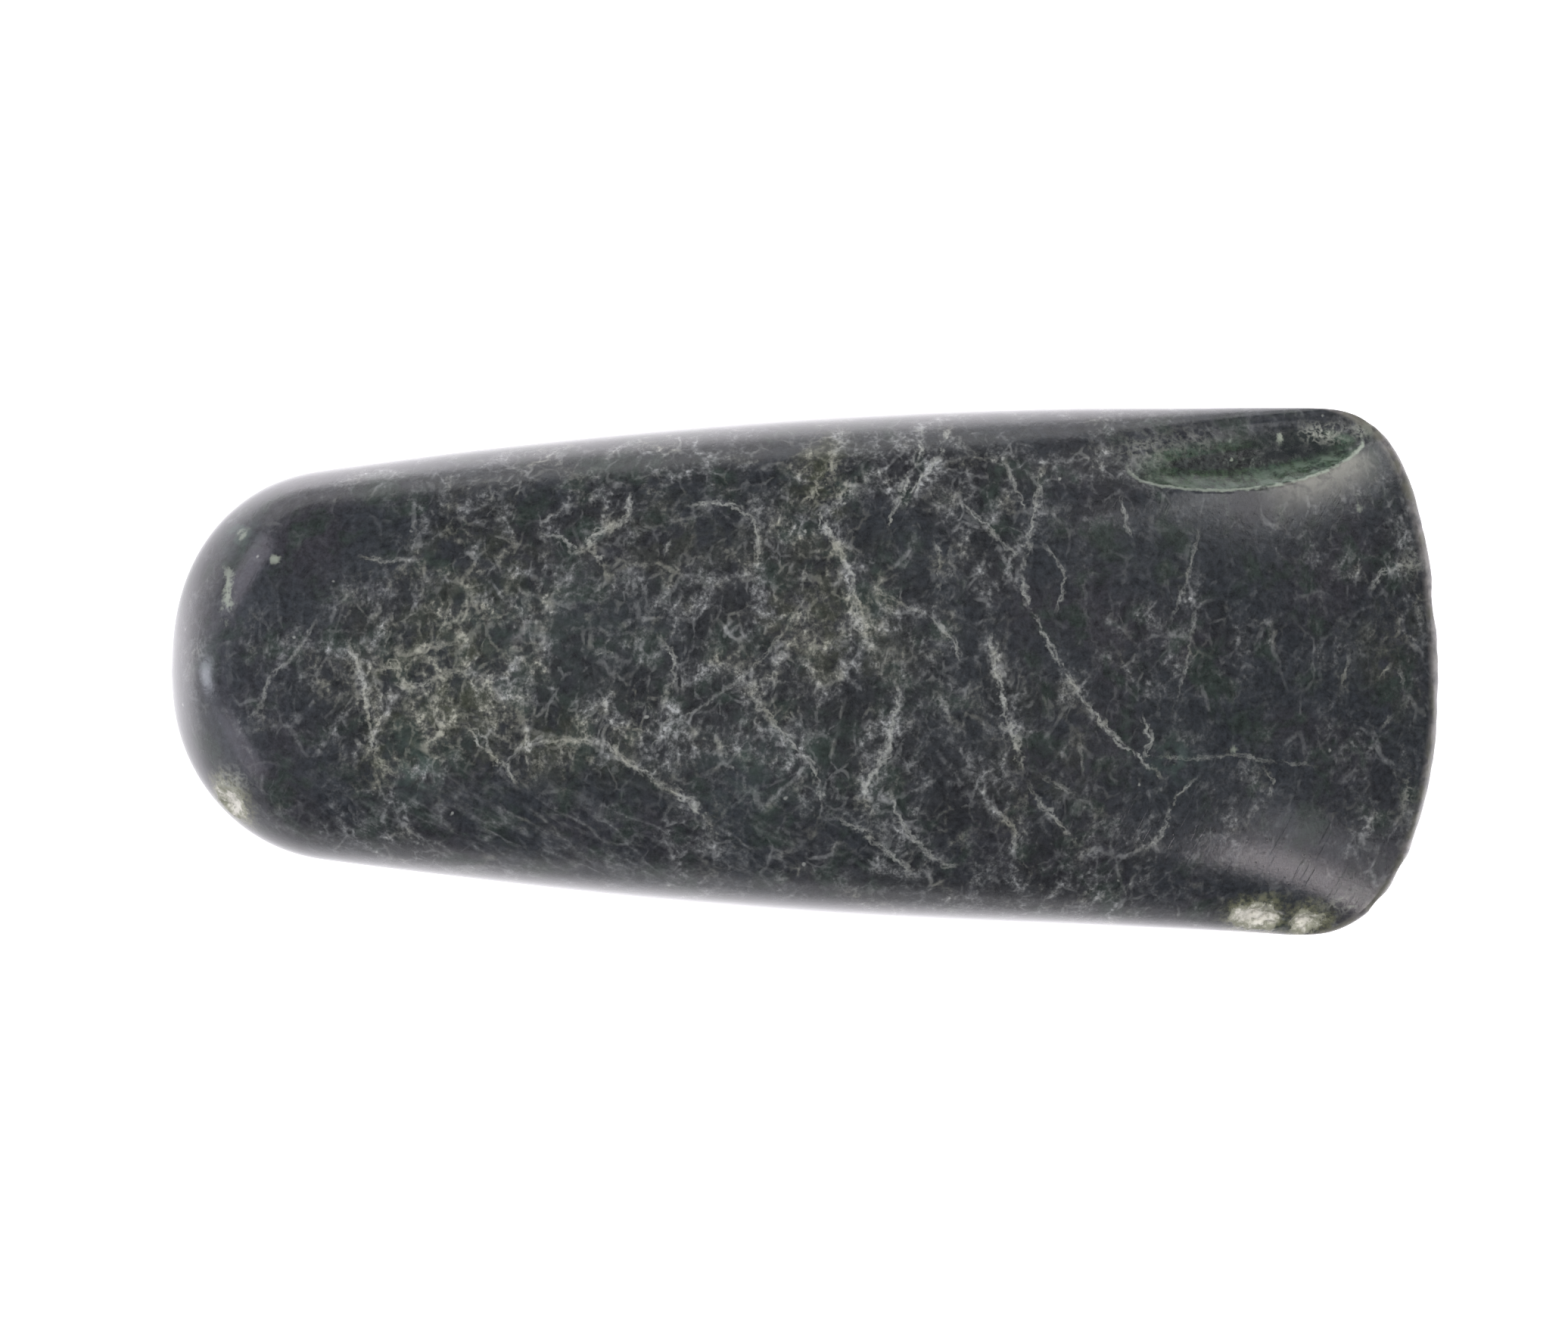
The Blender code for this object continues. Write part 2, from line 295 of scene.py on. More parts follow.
veinPaths = {                    # how wide the strands wander, then points along the vein
    "crownOlive": (1.0, [(3.3, 23.0), (2.8, 20.2), (1.9, 17.8), (-0.5, 15.1)]),
    "crownBelow": (0.75, [(4.0, 18.2), (3.0, 15.6), (1.6, 13.9), (3.4, 10.8), (4.2, 7.7), (5.0, 4.6),
                          (6.7, 1.6)]),
    "twinLeft": (0.55, [(10.9, 23.4), (10.4, 20.0), (8.8, 16.4), (7.1, 12.7)]),
    "twinRight": (0.5, [(13.6, 23.4), (12.6, 20.5), (10.6, 17.6), (8.8, 14.7)]),
    "vee": (0.25, [(11.5, 12.3), (12.5, 10.2), (11.8, 6.6)]),
    "veeRight": (0.2, [(13.8, 12.1), (12.7, 9.8)]),
    "slant": (0.25, [(12.2, 17.5), (15.7, 14.3), (18.8, 11.3), (20.2, 10.4)]),
    "longOne": (0.42, [(22.2, 19.9), (21.4, 15.4), (20.2, 10.6), (20.1, 7.5), (22.0, 3.1), (23.6, 0.3),
                       (25.9, -3.0), (28.0, -5.6), (31.1, -8.2), (33.2, -10.4)]),
    "longTwin": (0.3, [(18.2, 20.6), (19.3, 17.4), (20.7, 14.0)]),
    "lensSide": (0.25, [(21.6, 12.2), (23.4, 9.8), (23.8, 8.0), (23.0, 5.0)]),
    "shortSlant": (0.3, [(5.3, 7.9), (10.0, 5.7), (13.2, 3.2), (14.5, 0.4)]),
    "hairline": (0.14, [(1.3, 8.9), (-2.5, 3.1), (-4.9, 0.3), (-8.4, -2.4), (-12.0, -5.0), (-15.4, -7.9)]),
    "middle": (0.4, [(-5.6, -1.4), (-3.2, -4.5), (-1.5, -6.5), (0.9, -9.3), (1.6, -13.4)]),
    "fibres": (0.95, [(8.3, -1.2), (8.2, -4.2), (7.1, -7.6), (6.0, -9.4), (4.8, -12.4)]),
    "fibresRight": (0.8, [(17.2, 3.8), (17.4, 0.2), (18.2, -3.0), (19.3, -6.6), (20.0, -9.4)]),
    "oliveDash": (0.4, [(12.0, -1.8), (13.3, -4.3)]),
    "centreShort": (0.4, [(-13.9, 3.6), (-12.2, 1.2), (-12.4, -1.4), (-13.5, -3.9)]),
    "greyDash": (0.4, [(-20.0, 2.0), (-16.6, 1.1)]),
    "lowerMiddle": (0.4, [(2.6, -13.1), (5.6, -15.1), (8.0, -16.9), (10.1, -19.4)]),
    "lowerHook": (0.35, [(7.8, -10.4), (8.2, -12.9), (10.1, -15.6), (12.2, -17.5), (14.3, -17.9)]),
    "lowerLong": (0.35, [(20.3, -10.0), (21.6, -12.0), (23.2, -13.8), (25.7, -16.6)]),
    "lowerShort": (0.25, [(20.8, -9.3), (25.6, -11.8)]),
    "lowerCurl": (0.3, [(15.7, -11.7), (19.0, -14.3), (19.2, -17.4)]),
    "thinUpright": (0.18, [(25.2, -4.9), (25.6, -10.4)]),
    "zigzag": (0.5, [(-16.2, 16.8), (-16.6, 14.2), (-19.2, 12.8), (-19.9, 11.3), (-18.1, 9.5)]),
    "zigzagArm": (0.3, [(-25.0, 12.6), (-22.2, 12.2), (-21.6, 10.8), (-20.0, 11.6)]),
    "upperArch": (0.35, [(-11.5, 15.3), (-7.4, 15.4), (-5.4, 14.4), (-4.5, 12.6), (-4.5, 9.0)]),
    "upperDash": (0.25, [(-12.3, 12.4), (-13.3, 10.4)]),
    "pollLine": (0.5, [(-42.3, 2.9), (-41.3, 0.2), (-40.6, -2.0), (-40.2, -5.2), (-39.3, -8.3),
                       (-37.9, -9.6)]),
    "pollRung": (0.5, [(-40.1, -0.1), (-37.8, 0.6), (-36.8, -1.5), (-34.2, -0.8), (-30.2, 0.3)]),
    "pollArc": (0.3, [(-36.0, 2.5), (-33.5, 2.3), (-31.0, 3.6)]),
    "pollUpper": (0.22, [(-41.7, 10.6), (-38.6, 10.2), (-35.6, 10.5)]),
    "pollSlant": (0.6, [(-31.7, -4.4), (-29.1, -7.4), (-26.1, -10.8)]),
    "pollCurl": (0.16, [(-45.2, 5.1), (-46.7, 2.2), (-49.6, -0.8), (-50.6, -3.6), (-52.4, -4.8)]),
    "wander": (0.55, [(-25.1, -6.7), (-22.5, -6.2), (-18.5, -6.7), (-16.6, -8.2), (-13.3, -10.3),
                      (-10.8, -12.1), (-8.9, -13.8)]),
    "tie": (0.25, [(-14.5, -6.7), (-10.8, -2.2)]),
    "bitLine": (0.16, [(36.8, 14.2), (35.4, 8.6), (33.6, 4.0)]),
    "bitLong": (0.16, [(36.2, 7.0), (35.5, 1.6), (33.8, -4.6)]),
    "bitUpper": (0.22, [(29.2, 17.0), (29.6, 14.3), (30.4, 11.2)]),
    "bitOlive": (0.4, [(31.2, -3.6), (31.9, -6.6), (31.0, -8.2)]),
    "bitAcross": (0.15, [(31.5, -8.0), (36.0, -8.1), (39.8, -7.8), (43.0, -8.4), (49.0, -9.0)]),
    "bitLower": (0.35, [(36.6, -9.6), (34.3, -11.8), (33.2, -14.7), (31.2, -17.1)]),
    "comma": (0.3, [(42.3, -8.8), (43.5, -10.2), (43.1, -11.9)]),
    "bitStreak": (0.18, [(51.3, 2.8), (49.9, -2.6)]),
    "edgeUpper": (0.3, [(57.3, 10.1), (54.4, 9.4), (53.0, 7.2)]),
    "edgeShort": (0.28, [(55.8, 1.4), (53.3, -1.4)]),
    "edgeTwin": (0.2, [(55.8, 1.2), (56.4, -2.2)]),
    "edgeLower": (0.25, [(55.5, -3.7), (54.0, -5.8)]),
}
veinSets = 3                     # veins that lie close together go to different sets
veinReach = 1.8                  # a vein's marks fade out within this
strandWidth = (0.10, 0.15)       # half width of a strand, and how much a wider vein adds


def smoothPath(path, steps=10):
    # curve through the points, with evenly shared parameters
    points = np.array([(2 * np.array(path[0]) - path[1])] + [list(p) for p in path]
                      + [(2 * np.array(path[-1]) - path[-2])])
    curve = []
    for a, b, c, d in zip(points, points[1:], points[2:], points[3:]):
        for t in np.arange(steps) / steps:
            curve.append(0.5 * (2 * b + (c - a) * t + (2 * a - 5 * b + 4 * c - d) * t * t
                                + (3 * b - a - 3 * c + d) * t ** 3))
    return np.array(curve + [points[-2]])


def veinMarks(points):
    # for each set: how far to which side of the nearest vein a point lies, how strongly the vein shows
    # there, and its spread
    flat = points.reshape(-1, 3)
    side = np.full((veinSets, len(flat)), veinReach)
    strength = np.zeros((veinSets, len(flat)))
    width = np.ones((veinSets, len(flat)))
    upper = flat[:, 2] > midPlane
    for spread, path in veinPaths.values():
        curve = smoothPath(path)
        low, high = curve.min(0) - veinReach, curve.max(0) + veinReach
        near = upper & (flat[:, 0] > low[0]) & (flat[:, 0] < high[0])
        near = np.where(near & (flat[:, 1] > low[1]) & (flat[:, 1] < high[1]))[0]
        offset = flat[near, None, :2] - curve[None, :-1]
        step = curve[1:] - curve[:-1]
        along = np.clip((offset * step).sum(-1) / (step ** 2).sum(-1), 0.0, 1.0)
        distance = np.linalg.norm(offset - along[..., None] * step, axis=-1)
        closest = distance.argmin(axis=1)
        rows = np.arange(len(near))
        distance = distance[rows, closest]
        cross = step[closest, 0] * offset[rows, closest, 1] - step[closest, 1] * offset[rows, closest, 0]
        fromEnd = closest + along[rows, closest]
        fromEnd = np.minimum(fromEnd, len(step) - fromEnd)
        shown = np.clip(1.0 - distance / veinReach, 0.0, 1.0) * smoothStep(-2.0, 5.0, fromEnd)
        shown = shown * min(1.0, 0.40 + 1.0 * spread)
        k = int(np.argmin((strength[:, near] * shown).sum(axis=1)))
        wins = shown > strength[k, near]
        chosen = near[wins]
        strength[k, chosen] = shown[wins]
        side[k, chosen] = (np.sign(cross) * distance)[wins]
        width[k, chosen] = spread
    return {"veinSide": side, "veinShow": strength, "veinSpread": width}


# ---- where the stone is veined, olive, green or streaked, as soft patches

veinPatches = [                  # x, y, reach along x, reach along y, amount
    (-34.0, -1.5, 9.0, 7.0, 0.55),
    (-22.0, 3.0, 16.0, 10.0, 0.25),
    (-24.0, -7.0, 13.0, 4.0, 0.20),
    (-24.0, -15.0, 16.0, 4.0, -0.32),
    (-18.0, 13.0, 14.0, 4.0, -0.22),
    (0.0, 4.0, 10.0, 10.0, 0.14),
    (8.0, -6.0, 14.0, 13.0, 0.12),
    (21.0, 14.0, 6.0, 9.0, 0.25),
    (21.7, 4.6, 2.2, 4.4, -1.6),
    (2.0, 16.0, 2.4, 7.0, 0.45),
    (-30.0, -11.0, 5.0, 3.0, -0.5),
    (-46.0, 12.0, 10.0, 7.0, -0.4),
    (27.0, 9.0, 5.0, 9.0, -0.35),
    (44.0, 2.0, 12.0, 8.0, -0.05),
]
olivePatches = [
    (-34.5, -1.0, 7.0, 5.0, 0.9),
    (-38.5, -8.0, 3.0, 2.5, 0.9),
    (1.5, 18.5, 3.0, 6.0, 0.8),
    (-12.0, 13.0, 6.0, 4.0, 0.35),
    (1.5, 4.0, 7.0, 6.0, 0.6),
    (-22.0, -6.5, 9.0, 3.5, 0.55),
    (22.0, -8.0, 5.0, 6.0, 0.35),
    (-30.0, 9.0, 8.0, 6.0, 0.45),
    (55.0, 2.0, 3.0, 6.0, 0.5),
]
greenPatches = [
    (34.0, -8.2, 2.0, 2.0, 0.8),
    (-36.0, -9.0, 2.5, 3.0, 0.7),
    (-52.8, 12.6, 1.6, 1.6, 0.9),
    (53.8, 19.0, 1.1, 4.5, 0.15),
    (-4.0, -9.0, 8.0, 5.0, 0.3),
    (-26.0, 3.0, 9.0, 5.0, 0.3),
]
streakPatches = [
    (-30.0, -15.0, 16.0, 5.0, 1.0),
    (-8.0, -17.0, 14.0, 4.0, 0.7),
]
fleckPatches = [                 # ragged pale clusters
    (48.9, 22.5, 1.9, 0.9, 1.0),
    (31.8, 20.8, 2.6, 1.6, 0.4),
    (36.5, 21.6, 2.4, 1.4, 0.25),
    (52.6, 22.9, 0.9, 0.8, 0.8),
    (-53.6, -10.2, 1.6, 1.2, 0.6),
    (50.4, -21.9, 1.8, 0.9, 0.5),
    (57.3, 10.2, 1.0, 1.2, 0.45),
    (56.8, -11.6, 0.6, 1.6, 0.5),
]
paleSpots = [
    (-49.3, 10.4, 0.6, 0.5, 0.95),
    (-53.7, 7.3, 0.8, 3.3, 0.8),
    (-52.7, 12.7, 0.9, 0.9, 0.6),
    (44.8, 22.1, 0.42, 0.62, 1.0),
    (49.8, 22.6, 0.9, 0.55, 0.7),
    (52.9, 23.1, 1.2, 0.9, 0.55),
    (52.1, 15.6, 0.55, 1.2, 0.6),
    (47.6, 0.6, 0.4, 0.4, 0.9),
    (39.8, -7.4, 0.35, 0.35, 0.8),
    (50.4, -21.6, 0.8, 0.45, 0.6),
    (51.6, -22.4, 0.5, 0.5, 0.6),
    (34.0, -8.2, 0.9, 0.8, 0.5),
]


def patchField(points, patches):
    field = np.zeros(points.shape[:-1])
    for x, y, reachX, reachY, amount in patches:
        field += amount * np.exp(-((points[..., 0] - x) / reachX) ** 2 - ((points[..., 1] - y) / reachY) ** 2)
    return field


def veinDensity(points):
    # fewer veins at the poll and on the ground bit
    x = points[..., 0]
    body = 0.27 + 0.31 * smoothStep(-50.0, -40.0, x) * (1.0 - 0.5 * smoothStep(8.0, 36.0, x))
    return np.clip(body + patchField(points, veinPatches), -0.8, 1.2)


# ---- the stone as one mesh

reliefPlan = {
    "undulation": 0.06,          # hand ground surface, depth in mm
    "undulationLength": 19.0,
    "edgeWear": ((5.5, 0.05), (1.9, 0.03), (0.9, 0.015)),   # length and depth of small losses at the edge
    "edgeWearReach": 1.4,
    "scarWear": 0.85,            # rounding of the flake scar's worn rims
    "ripple": 0.012,             # ripples in the flake scar
    "rippleLength": 2.3,
}


def carveHollows(points, normals):
    marks = {}
    crustSide = np.full(points.shape[:-1], 3.0)
    for name, hollow in hollows.items():
        point, outward, along = skinFrame(hollow["station"], math.radians(hollow["angle"]))
        along = turnedAbout(along, outward, math.radians(hollow["turn"]))
        shape = hollowShape(point, outward, along, (hollow["length"], hollow["width"]), hollow["depth"])
        field = hollowField(points, shape)
        points, field, onRim = snapToRim(points, field)
        distance = rimDistance(points, field)
        distance[onRim] = 0.0
        inside = smoothStep(0.0, 0.7, -distance)
        grain = waveField(points, hollow["grain"], seed=len(name)) * hollow["rough"]
        soft = 0.0
        if name == "flakeScar":
            # crisp towards the crown, worn soft at the flank and at its end towards the poll
            share = (points - point) @ shape[1].T / (hollow["length"] / 2, hollow["width"] / 2, 1.0)
            wear = np.maximum(smoothStep(-0.05, 0.7, share[..., 1]), smoothStep(-0.45, -1.0, share[..., 0]))
            soft = reliefPlan["scarWear"] * wear
            reach = np.linalg.norm((points - point) @ shape[1][:2].T, axis=-1)
            ripple = np.cos(2.0 * math.pi * reach / reliefPlan["rippleLength"]) * reliefPlan["ripple"]
            grain = grain + ripple
            marks["scarSide"] = distance
            marks["scarAlong"] = np.clip(share[..., 0], -2.0, 2.0)
            marks["scarUp"] = np.clip(-share[..., 1], -2.0, 2.0)
        points = sinkInto(points, field, shape, soft)
        if name != "flakeScar":
            crustSide = np.minimum(crustSide, distance)
        points = points - normals * (inside * (0.5 * hollow["rough"] + grain))[..., None]
    marks["crustSide"] = np.clip(crustSide + patchField(points, crustGaps), -1.5, 3.0)
    return points, marks


def cutNicks(points):
    for nick in edgeNicks.values():
        angle = math.radians(nick["angle"])
        point = skinPoint(edgeStation, angle)
        along = unit(skinPoint(edgeStation, angle - 0.01) - skinPoint(edgeStation, angle + 0.01))
        outward = np.cross(along, (0.0, 0.0, 1.0))
        shape = hollowShape(point, outward, along, (nick["length"], nickHeight), nick["depth"])
        points = sinkInto(points, hollowField(points, shape), shape)
    return points


def stoneGrid():
    stations, angles = gridStations(), gridAngles()
    points = skinPoint(stations[:, None], angles[None, :])
    normals = gridNormals(points)
    normals[-1] = (1.0, 0.0, 0.0)
    edgeDistance = np.linalg.norm(points - points[-1:], axis=-1)

    plan = reliefPlan
    swell = np.clip(0.5 + 0.25 * waveField(points, plan["undulationLength"], seed=3), 0.0, 1.0)
    calm = smoothStep(0.5, 4.0, points[..., 2]) * smoothStep(0.3, 5.0, edgeDistance)
    points = points - normals * (plan["undulation"] * swell * calm)[..., None]

    wear = np.zeros(points.shape[:-1])
    for size, depth in plan["edgeWear"]:
        wear += depth * np.maximum(0.0, 0.3 + 0.8 * waveField(points, size, seed=int(10 * size)))
    points[..., 0] -= wear * (1.0 - smoothStep(0.0, plan["edgeWearReach"], edgeDistance))

    restField = 1.0 + points[..., 2]
    points, restField, onRim = snapToRim(points, restField)
    points[..., 2] = np.where(onRim, 0.0, np.maximum(points[..., 2], 0.0))

    points, marks = carveHollows(points, normals)
    points = np.clip(cutNicks(points), boxLow, boxHigh)
    marks["edgeSide"] = np.clip(edgeDistance, 0.0, 12.0)
    marks["veining"] = veinDensity(points)
    for name, patches in (("olive", olivePatches), ("green", greenPatches), ("streak", streakPatches),
                          ("fleck", fleckPatches), ("spot", paleSpots)):
        marks[name] = np.clip(patchField(points, patches), 0.0, 1.0)
    for name, values in veinMarks(points).items():
        for k in range(veinSets):
            marks[name + str(k)] = values[k].reshape(points.shape[:-1])
    return points, marks


def stonePiece():
    points, marks = stoneGrid()
    rings, around = points.shape[:2]
    half = around // 2
    edge = np.minimum(np.arange(around), around - np.arange(around))
    body = points[:-1].reshape(-1, 3)
    tip = np.array([[-halfLength, stoneForm["pollCentreY"], midPlane]])
    vertices = np.concatenate([body, points[-1, :half + 1], tip])
    index = np.arange((rings - 1) * around).reshape(rings - 1, around)
    index = np.vstack([index, len(body) + edge])
    tipIndex = len(vertices) - 1
    before = np.roll(index, 1, axis=1)
    quads = np.stack([before[:-1], index[:-1], index[1:], before[1:]], axis=-1).reshape(-1, 4)
    faces = [tuple(face) for face in quads.tolist()]
    faces += [(tipIndex, index[0, i], before[0, i]) for i in range(around)]
    mesh = bpy.data.meshes.new("polishedStone")
    mesh.from_pydata((vertices * mm).tolist(), [], faces)
    mesh.validate()
    for name, values in marks.items():
        layer = mesh.attributes.new(name, "FLOAT", "POINT")
        tipValue = values[0].mean()
        layer.data.foreach_set("value", np.concatenate(
            [values[:-1].ravel(), values[-1, :half + 1], [tipValue]]).astype(np.float32))
    mesh.shade_smooth()
    stone = bpy.data.objects.new("polishedStone", mesh)
    bpy.context.scene.collection.objects.link(stone)
    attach(stone, "root")
    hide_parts("axe_head")
    return stone


# ---- node helpers

def put(tree, socket, value):
    if isinstance(value, bpy.types.NodeSocket):
        tree.links.new(value, socket)
    else:
        socket.default_value = value


def mathNode(tree, operation, first, second=0.0, clamp=False):
    node = tree.nodes.new("ShaderNodeMath")
    node.operation = operation
    node.use_clamp = clamp
    put(tree, node.inputs[0], first)
    put(tree, node.inputs[1], second)
    return node.outputs[0]


def plus(tree, first, second):
    return mathNode(tree, "ADD", first, second)


def times(tree, *values):
    result = values[0]
    for value in values[1:]:
        result = mathNode(tree, "MULTIPLY", result, value)
    return result


def larger(tree, *values):
    result = values[0]
    for value in values[1:]:
        result = mathNode(tree, "MAXIMUM", result, value)
    return result


def band(tree, value, start, end, low=0.0, high=1.0):
    # smooth step of the value from start to end, giving low to high
    node = tree.nodes.new("ShaderNodeMapRange")
    node.interpolation_type = "SMOOTHSTEP"
    put(tree, node.inputs["Value"], value)
    node.inputs["From Min"].default_value = start
    node.inputs["From Max"].default_value = end
    node.inputs["To Min"].default_value = low
    node.inputs["To Max"].default_value = high
    return node.outputs["Result"]


def noise(tree, place, scale, detail=2.0, roughness=0.5, output="Fac"):
    node = tree.nodes.new("ShaderNodeTexNoise")
    put(tree, node.inputs["Vector"], place)
    node.inputs["Scale"].default_value = scale
    node.inputs["Detail"].default_value = detail
    node.inputs["Roughness"].default_value = roughness
    return node.outputs[output]


def drift(tree, place, scale, detail, roughness, amount):
    # noise about zero, from minus half the amount to half of it
    centred = mathNode(tree, "SUBTRACT", noise(tree, place, scale, detail, roughness), 0.5)
    return times(tree, centred, amount)


def cracks(tree, place, scale, thin, thick):
    # lines between cells; thin and thick are distances from the line, in cells
    node = tree.nodes.new("ShaderNodeTexVoronoi")
    node.feature = "DISTANCE_TO_EDGE"
    put(tree, node.inputs["Vector"], place)
    node.inputs["Scale"].default_value = scale
    return band(tree, node.outputs["Distance"], thick, thin)


def dots(tree, place, scale, share, size):
    # sparse round grains
    node = tree.nodes.new("ShaderNodeTexVoronoi")
    node.feature = "F1"
    put(tree, node.inputs["Vector"], place)
    node.inputs["Scale"].default_value = scale
    split = tree.nodes.new("ShaderNodeSeparateColor")
    put(tree, split.inputs[0], node.outputs["Color"])
    chosen = mathNode(tree, "GREATER_THAN", split.outputs[0], 1.0 - share)
    return times(tree, chosen, band(tree, node.outputs["Distance"], size, size * 0.35))


def vectorNode(tree, operation, first, second=(0.0, 0.0, 0.0), scale=None):
    node = tree.nodes.new("ShaderNodeVectorMath")
    node.operation = operation
    put(tree, node.inputs[0], first)
    if scale is None:
        put(tree, node.inputs[1], second)
    else:
        node.inputs["Scale"].default_value = scale
    return node.outputs[0]


def warped(tree, place, scale, amount):
    shift = vectorNode(tree, "SUBTRACT", noise(tree, place, scale, output="Color"), (0.5, 0.5, 0.5))
    return vectorNode(tree, "ADD", place, vectorNode(tree, "SCALE", shift, scale=amount))


def stretched(tree, place, turn, sizes):
    node = tree.nodes.new("ShaderNodeMapping")
    node.vector_type = "TEXTURE"
    put(tree, node.inputs["Vector"], place)
    node.inputs["Rotation"].default_value = (0.0, 0.0, math.radians(turn))
    node.inputs["Scale"].default_value = sizes
    return node.outputs[0]


def blend(tree, share, first, second, mode="MIX"):
    node = tree.nodes.new("ShaderNodeMix")
    node.data_type = "RGBA"
    node.blend_type = mode
    put(tree, node.inputs[0], share)
    put(tree, node.inputs[6], first)
    put(tree, node.inputs[7], second)
    return node.outputs[2]


def mark(tree, name):
    node = tree.nodes.new("ShaderNodeAttribute")
    node.attribute_name = name
    return node.outputs["Fac"]


# ---- polished greenstone

stoneLook = {
    "dark": (0.0200, 0.0224, 0.0262, 1.0),
    "darkOlive": (0.0152, 0.0160, 0.0174, 1.0),
    "darkGreen": (0.0190, 0.0255, 0.0225, 1.0),
    "darkPlum": (0.0230, 0.0222, 0.0265, 1.0),
    "moss": (0.036, 0.040, 0.022, 1.0),
    "veinGrey": (0.350, 0.358, 0.358, 1.0),
    "veinOlive": (0.348, 0.346, 0.286, 1.0),
    "veinPale": (0.42, 0.43, 0.40, 1.0),
    "greenTint": (0.075, 0.112, 0.096, 1.0),
    "scarGreen": (0.029, 0.050, 0.028, 1.0),
    "scarTeal": (0.033, 0.056, 0.042, 1.0),
    "scarWisp": (0.105, 0.142, 0.108, 1.0),
    # pale haze beside the scar, partly a painted sheen
    "hazeAndSheen": (0.280, 0.273, 0.240, 1.0),
    # painted shade for the scar's hollow
    "scarShade": (0.0120, 0.0150, 0.0170, 1.0),
    "fleck": (0.345, 0.355, 0.310, 1.0),
    # pale line on the arris, partly a painted highlight
    "arris": (0.330, 0.370, 0.310, 1.0),
    "cream": (0.75, 0.722, 0.640, 1.0),
    "creamShade": (0.270, 0.272, 0.205, 1.0),
    "creamFringe": (0.155, 0.157, 0.100, 1.0),
    "spotPale": (0.300, 0.330, 0.270, 1.0),
    "edgeGrey": (0.290, 0.270, 0.262, 1.0),
    "edgeBrown": (0.178, 0.172, 0.142, 1.0),
    "ior": 1.6,
    "polish": 0.17,
    "scarPolish": 0.25,
    "crustRoughness": 0.85,
    "bumpStrength": 0.35,
    "bumpDepth": 0.06,           # in mm
}


def ridges(tree, place, scale, detail, roughness):
    # branching threads that gather into brighter strands
    node = tree.nodes.new("ShaderNodeTexNoise")
    node.noise_type = "RIDGED_MULTIFRACTAL"
    put(tree, node.inputs["Vector"], place)
    node.inputs["Scale"].default_value = scale
    node.inputs["Detail"].default_value = detail
    node.inputs["Roughness"].default_value = roughness
    node.inputs["Offset"].default_value = 1.0
    node.inputs["Gain"].default_value = 2.0
    return node.outputs[0]


def shifted(tree, place, amount):
    return vectorNode(tree, "ADD", place, (amount, -0.6 * amount, 0.8 * amount))


def singleVeins(tree, place):
    # three strands wind round the line of each vein; also gives how near the veins are
    strands = []
    for k in range(3):
        here = shifted(tree, place, 31.0 * k)
        sway = drift(tree, here, 0.5, 4.0, 0.55, 5.5 if k else 2.6)
        jag = drift(tree, here, 1.1, 4.0, 0.65, 1.5)
        visible = times(tree, band(tree, noise(tree, here, 0.6, 3.0, 0.6), 0.38 + 0.04 * k, 0.56),
                        band(tree, noise(tree, here, 1.9, 3.0, 0.6), 0.32, 0.58, 0.40))
        strands.append((sway, jag, times(tree, visible, 1.0 - 0.2 * k)))
    total, around = None, None
    for k in range(veinSets):
        side = mark(tree, "veinSide" + str(k))
        show = mark(tree, "veinShow" + str(k))
        spread = mark(tree, "veinSpread" + str(k))
        width = plus(tree, times(tree, spread, strandWidth[1]), strandWidth[0])
        lines = []
        for sway, jag, visible in strands:
            away = plus(tree, plus(tree, side, times(tree, sway, spread)), jag)
            away = mathNode(tree, "DIVIDE", mathNode(tree, "ABSOLUTE", away), width)
            lines.append(times(tree, visible, band(tree, away, 1.4, 0.1)))
        line = times(tree, larger(tree, *lines), band(tree, show, 0.1, 0.95))
        away = mathNode(tree, "DIVIDE", mathNode(tree, "ABSOLUTE", side), spread)
        halo = times(tree, band(tree, away, 2.2, 0.0), band(tree, show, 0.1, 0.8))
        total = line if total is None else larger(tree, total, line)
        around = halo if around is None else larger(tree, around, halo)
    return total, around


